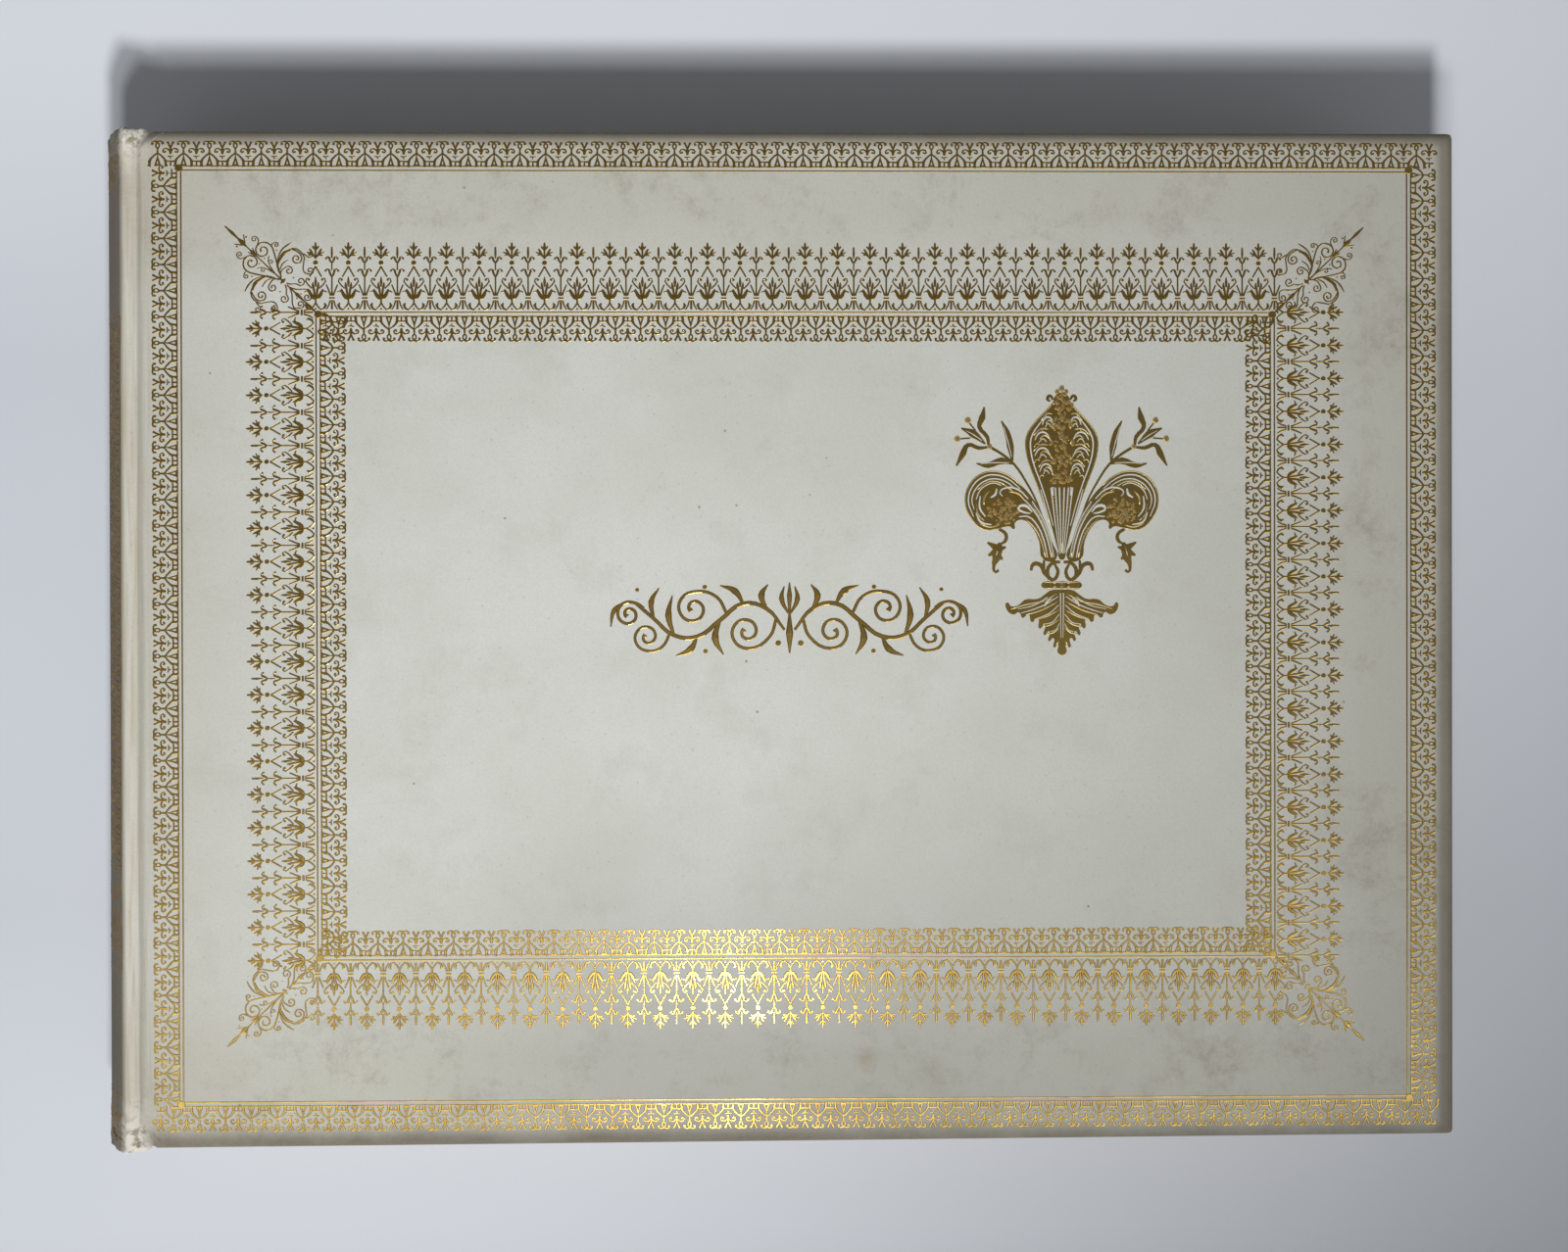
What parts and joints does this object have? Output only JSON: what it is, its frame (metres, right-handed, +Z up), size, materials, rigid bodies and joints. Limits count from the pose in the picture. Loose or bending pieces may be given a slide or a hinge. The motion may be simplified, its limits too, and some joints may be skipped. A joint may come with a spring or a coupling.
{
  "type": "photograph album",
  "caption": "Oblong photograph album: card leaves on linen guards between vellum-covered boards, a rounded hollow spine, hinged covers and gilt tooled frames.",
  "frame": {"origin": "middle of the footprint, on the surface the back cover lies on", "axes": "+X from the spine to the fore-edge, +Y from the tail to the head, +Z up through the front cover"},
  "size_m": [0.4154, 0.308, 0.0437],
  "materials": {
    "vellum": "satin",
    "millboard": "matte",
    "endpaper": "matte",
    "gilt": "satin",
    "guard_card": "matte",
    "leaf_card": "matte",
    "linen": "matte",
    "thread": "matte",
    "silk": "matte"
  },
  "bodies": {
    "back_cover": {"back_board": "millboard", "back_vellum": "vellum", "back_pastedown": "endpaper"},
    "text_block": {"spine_vellum": "vellum", "spine_stiffener": "guard_card", "spine_lining": "linen", "sewing_tapes": "linen", "sewing_thread": "thread", "guard_stubs": "guard_card", "head_band": "silk", "tail_band": "silk", "front_joint": "vellum", "back_joint": "vellum", "front_inner_joint": "endpaper", "back_inner_joint": "endpaper"},
    "front_cover": {"front_board": "millboard", "front_vellum": "vellum", "front_pastedown": "endpaper", "outer_fillet": "gilt", "inner_fillet": "gilt"},
    "front_flyleaf": {"front_flyleaf": "endpaper"},
    "back_flyleaf": {"back_flyleaf": "endpaper"},
    "leaf_01": {"leaf_01": "leaf_card", "leaf_hinge_01": "linen"},
    "leaf_02": {"leaf_02": "leaf_card", "leaf_hinge_02": "linen"},
    "leaf_03": {"leaf_03": "leaf_card", "leaf_hinge_03": "linen"},
    "leaf_04": {"leaf_04": "leaf_card", "leaf_hinge_04": "linen"},
    "leaf_05": {"leaf_05": "leaf_card", "leaf_hinge_05": "linen"},
    "leaf_06": {"leaf_06": "leaf_card", "leaf_hinge_06": "linen"},
    "leaf_07": {"leaf_07": "leaf_card", "leaf_hinge_07": "linen"},
    "leaf_08": {"leaf_08": "leaf_card", "leaf_hinge_08": "linen"},
    "leaf_09": {"leaf_09": "leaf_card", "leaf_hinge_09": "linen"},
    "leaf_10": {"leaf_10": "leaf_card", "leaf_hinge_10": "linen"},
    "leaf_11": {"leaf_11": "leaf_card", "leaf_hinge_11": "linen"},
    "leaf_12": {"leaf_12": "leaf_card", "leaf_hinge_12": "linen"},
    "leaf_13": {"leaf_13": "leaf_card", "leaf_hinge_13": "linen"},
    "leaf_14": {"leaf_14": "leaf_card", "leaf_hinge_14": "linen"},
    "leaf_15": {"leaf_15": "leaf_card", "leaf_hinge_15": "linen"},
    "leaf_16": {"leaf_16": "leaf_card", "leaf_hinge_16": "linen"},
    "leaf_17": {"leaf_17": "leaf_card", "leaf_hinge_17": "linen"},
    "leaf_18": {"leaf_18": "leaf_card", "leaf_hinge_18": "linen"}
  },
  "joints": [
    {"name": "back_cover_hinge", "type": "hinge", "parent": "back_cover", "child": "text_block", "pos_m": [-0.19525, 0, 0.0016], "axis": [0, -1, 0], "range_deg": [0, 90]},
    {"name": "front_cover_hinge", "type": "hinge", "parent": "text_block", "child": "front_cover", "pos_m": [-0.19525, 0, 0.0421], "axis": [0, -1, 0], "range_deg": [0, 90]},
    {"name": "front_flyleaf_fold", "type": "hinge", "parent": "text_block", "child": "front_flyleaf", "pos_m": [-0.18495, 0, 0.0386], "axis": [0, -1, 0], "range_deg": [0, 86]},
    {"name": "leaf_01_fold", "type": "hinge", "parent": "text_block", "child": "leaf_01", "pos_m": [-0.18145, 0, 0.03673], "axis": [0, -1, 0], "range_deg": [0, 80]},
    {"name": "leaf_02_fold", "type": "hinge", "parent": "text_block", "child": "leaf_02", "pos_m": [-0.18145, 0, 0.03497], "axis": [0, -1, 0], "range_deg": [0, 71.11]},
    {"name": "leaf_03_fold", "type": "hinge", "parent": "text_block", "child": "leaf_03", "pos_m": [-0.18145, 0, 0.03322], "axis": [0, -1, 0], "range_deg": [0, 62.22]},
    {"name": "leaf_04_fold", "type": "hinge", "parent": "text_block", "child": "leaf_04", "pos_m": [-0.18145, 0, 0.03148], "axis": [0, -1, 0], "range_deg": [0, 53.33]},
    {"name": "leaf_05_fold", "type": "hinge", "parent": "text_block", "child": "leaf_05", "pos_m": [-0.18145, 0, 0.02973], "axis": [0, -1, 0], "range_deg": [0, 44.44]},
    {"name": "leaf_06_fold", "type": "hinge", "parent": "text_block", "child": "leaf_06", "pos_m": [-0.18145, 0, 0.02797], "axis": [0, -1, 0], "range_deg": [0, 35.56]},
    {"name": "leaf_07_fold", "type": "hinge", "parent": "text_block", "child": "leaf_07", "pos_m": [-0.18145, 0, 0.02622], "axis": [0, -1, 0], "range_deg": [0, 26.67]},
    {"name": "leaf_08_fold", "type": "hinge", "parent": "text_block", "child": "leaf_08", "pos_m": [-0.18145, 0, 0.02448], "axis": [0, -1, 0], "range_deg": [0, 17.78]},
    {"name": "leaf_09_fold", "type": "hinge", "parent": "text_block", "child": "leaf_09", "pos_m": [-0.18145, 0, 0.02272], "axis": [0, -1, 0], "range_deg": [0, 8.89]},
    {"name": "leaf_10_fold", "type": "hinge", "parent": "text_block", "child": "leaf_10", "pos_m": [-0.18145, 0, 0.02098], "axis": [0, -1, 0], "range_deg": [-8.89, 0]},
    {"name": "leaf_11_fold", "type": "hinge", "parent": "text_block", "child": "leaf_11", "pos_m": [-0.18145, 0, 0.01922], "axis": [0, -1, 0], "range_deg": [-17.78, 0]},
    {"name": "leaf_12_fold", "type": "hinge", "parent": "text_block", "child": "leaf_12", "pos_m": [-0.18145, 0, 0.01748], "axis": [0, -1, 0], "range_deg": [-26.67, 0]},
    {"name": "leaf_13_fold", "type": "hinge", "parent": "text_block", "child": "leaf_13", "pos_m": [-0.18145, 0, 0.01572], "axis": [0, -1, 0], "range_deg": [-35.56, 0]},
    {"name": "leaf_14_fold", "type": "hinge", "parent": "text_block", "child": "leaf_14", "pos_m": [-0.18145, 0, 0.01397], "axis": [0, -1, 0], "range_deg": [-44.44, 0]},
    {"name": "leaf_15_fold", "type": "hinge", "parent": "text_block", "child": "leaf_15", "pos_m": [-0.18145, 0, 0.01222], "axis": [0, -1, 0], "range_deg": [-53.33, 0]},
    {"name": "leaf_16_fold", "type": "hinge", "parent": "text_block", "child": "leaf_16", "pos_m": [-0.18145, 0, 0.01047], "axis": [0, -1, 0], "range_deg": [-62.22, 0]},
    {"name": "leaf_17_fold", "type": "hinge", "parent": "text_block", "child": "leaf_17", "pos_m": [-0.18145, 0, 0.00873], "axis": [0, -1, 0], "range_deg": [-71.11, 0]},
    {"name": "leaf_18_fold", "type": "hinge", "parent": "text_block", "child": "leaf_18", "pos_m": [-0.18145, 0, 0.00698], "axis": [0, -1, 0], "range_deg": [-80, 0]},
    {"name": "back_flyleaf_fold", "type": "hinge", "parent": "text_block", "child": "back_flyleaf", "pos_m": [-0.18495, 0, 0.0051], "axis": [0, -1, 0], "range_deg": [-86, 0]}
  ],
  "couplings": [
    {"joint": "front_flyleaf_fold", "follows": "front_cover_hinge", "ratio": 0.95556},
    {"joint": "leaf_01_fold", "follows": "front_cover_hinge", "ratio": 0.88889},
    {"joint": "leaf_02_fold", "follows": "front_cover_hinge", "ratio": 0.79012},
    {"joint": "leaf_03_fold", "follows": "front_cover_hinge", "ratio": 0.69136},
    {"joint": "leaf_04_fold", "follows": "front_cover_hinge", "ratio": 0.59259},
    {"joint": "leaf_05_fold", "follows": "front_cover_hinge", "ratio": 0.49382},
    {"joint": "leaf_06_fold", "follows": "front_cover_hinge", "ratio": 0.39507},
    {"joint": "leaf_07_fold", "follows": "front_cover_hinge", "ratio": 0.2963},
    {"joint": "leaf_08_fold", "follows": "front_cover_hinge", "ratio": 0.19753},
    {"joint": "leaf_09_fold", "follows": "front_cover_hinge", "ratio": 0.098767},
    {"joint": "leaf_10_fold", "follows": "back_cover_hinge", "ratio": -0.098767},
    {"joint": "leaf_11_fold", "follows": "back_cover_hinge", "ratio": -0.19753},
    {"joint": "leaf_12_fold", "follows": "back_cover_hinge", "ratio": -0.2963},
    {"joint": "leaf_13_fold", "follows": "back_cover_hinge", "ratio": -0.39507},
    {"joint": "leaf_14_fold", "follows": "back_cover_hinge", "ratio": -0.49382},
    {"joint": "leaf_15_fold", "follows": "back_cover_hinge", "ratio": -0.59259},
    {"joint": "leaf_16_fold", "follows": "back_cover_hinge", "ratio": -0.69136},
    {"joint": "leaf_17_fold", "follows": "back_cover_hinge", "ratio": -0.79012},
    {"joint": "leaf_18_fold", "follows": "back_cover_hinge", "ratio": -0.88889},
    {"joint": "back_flyleaf_fold", "follows": "back_cover_hinge", "ratio": -0.95556}
  ]
}
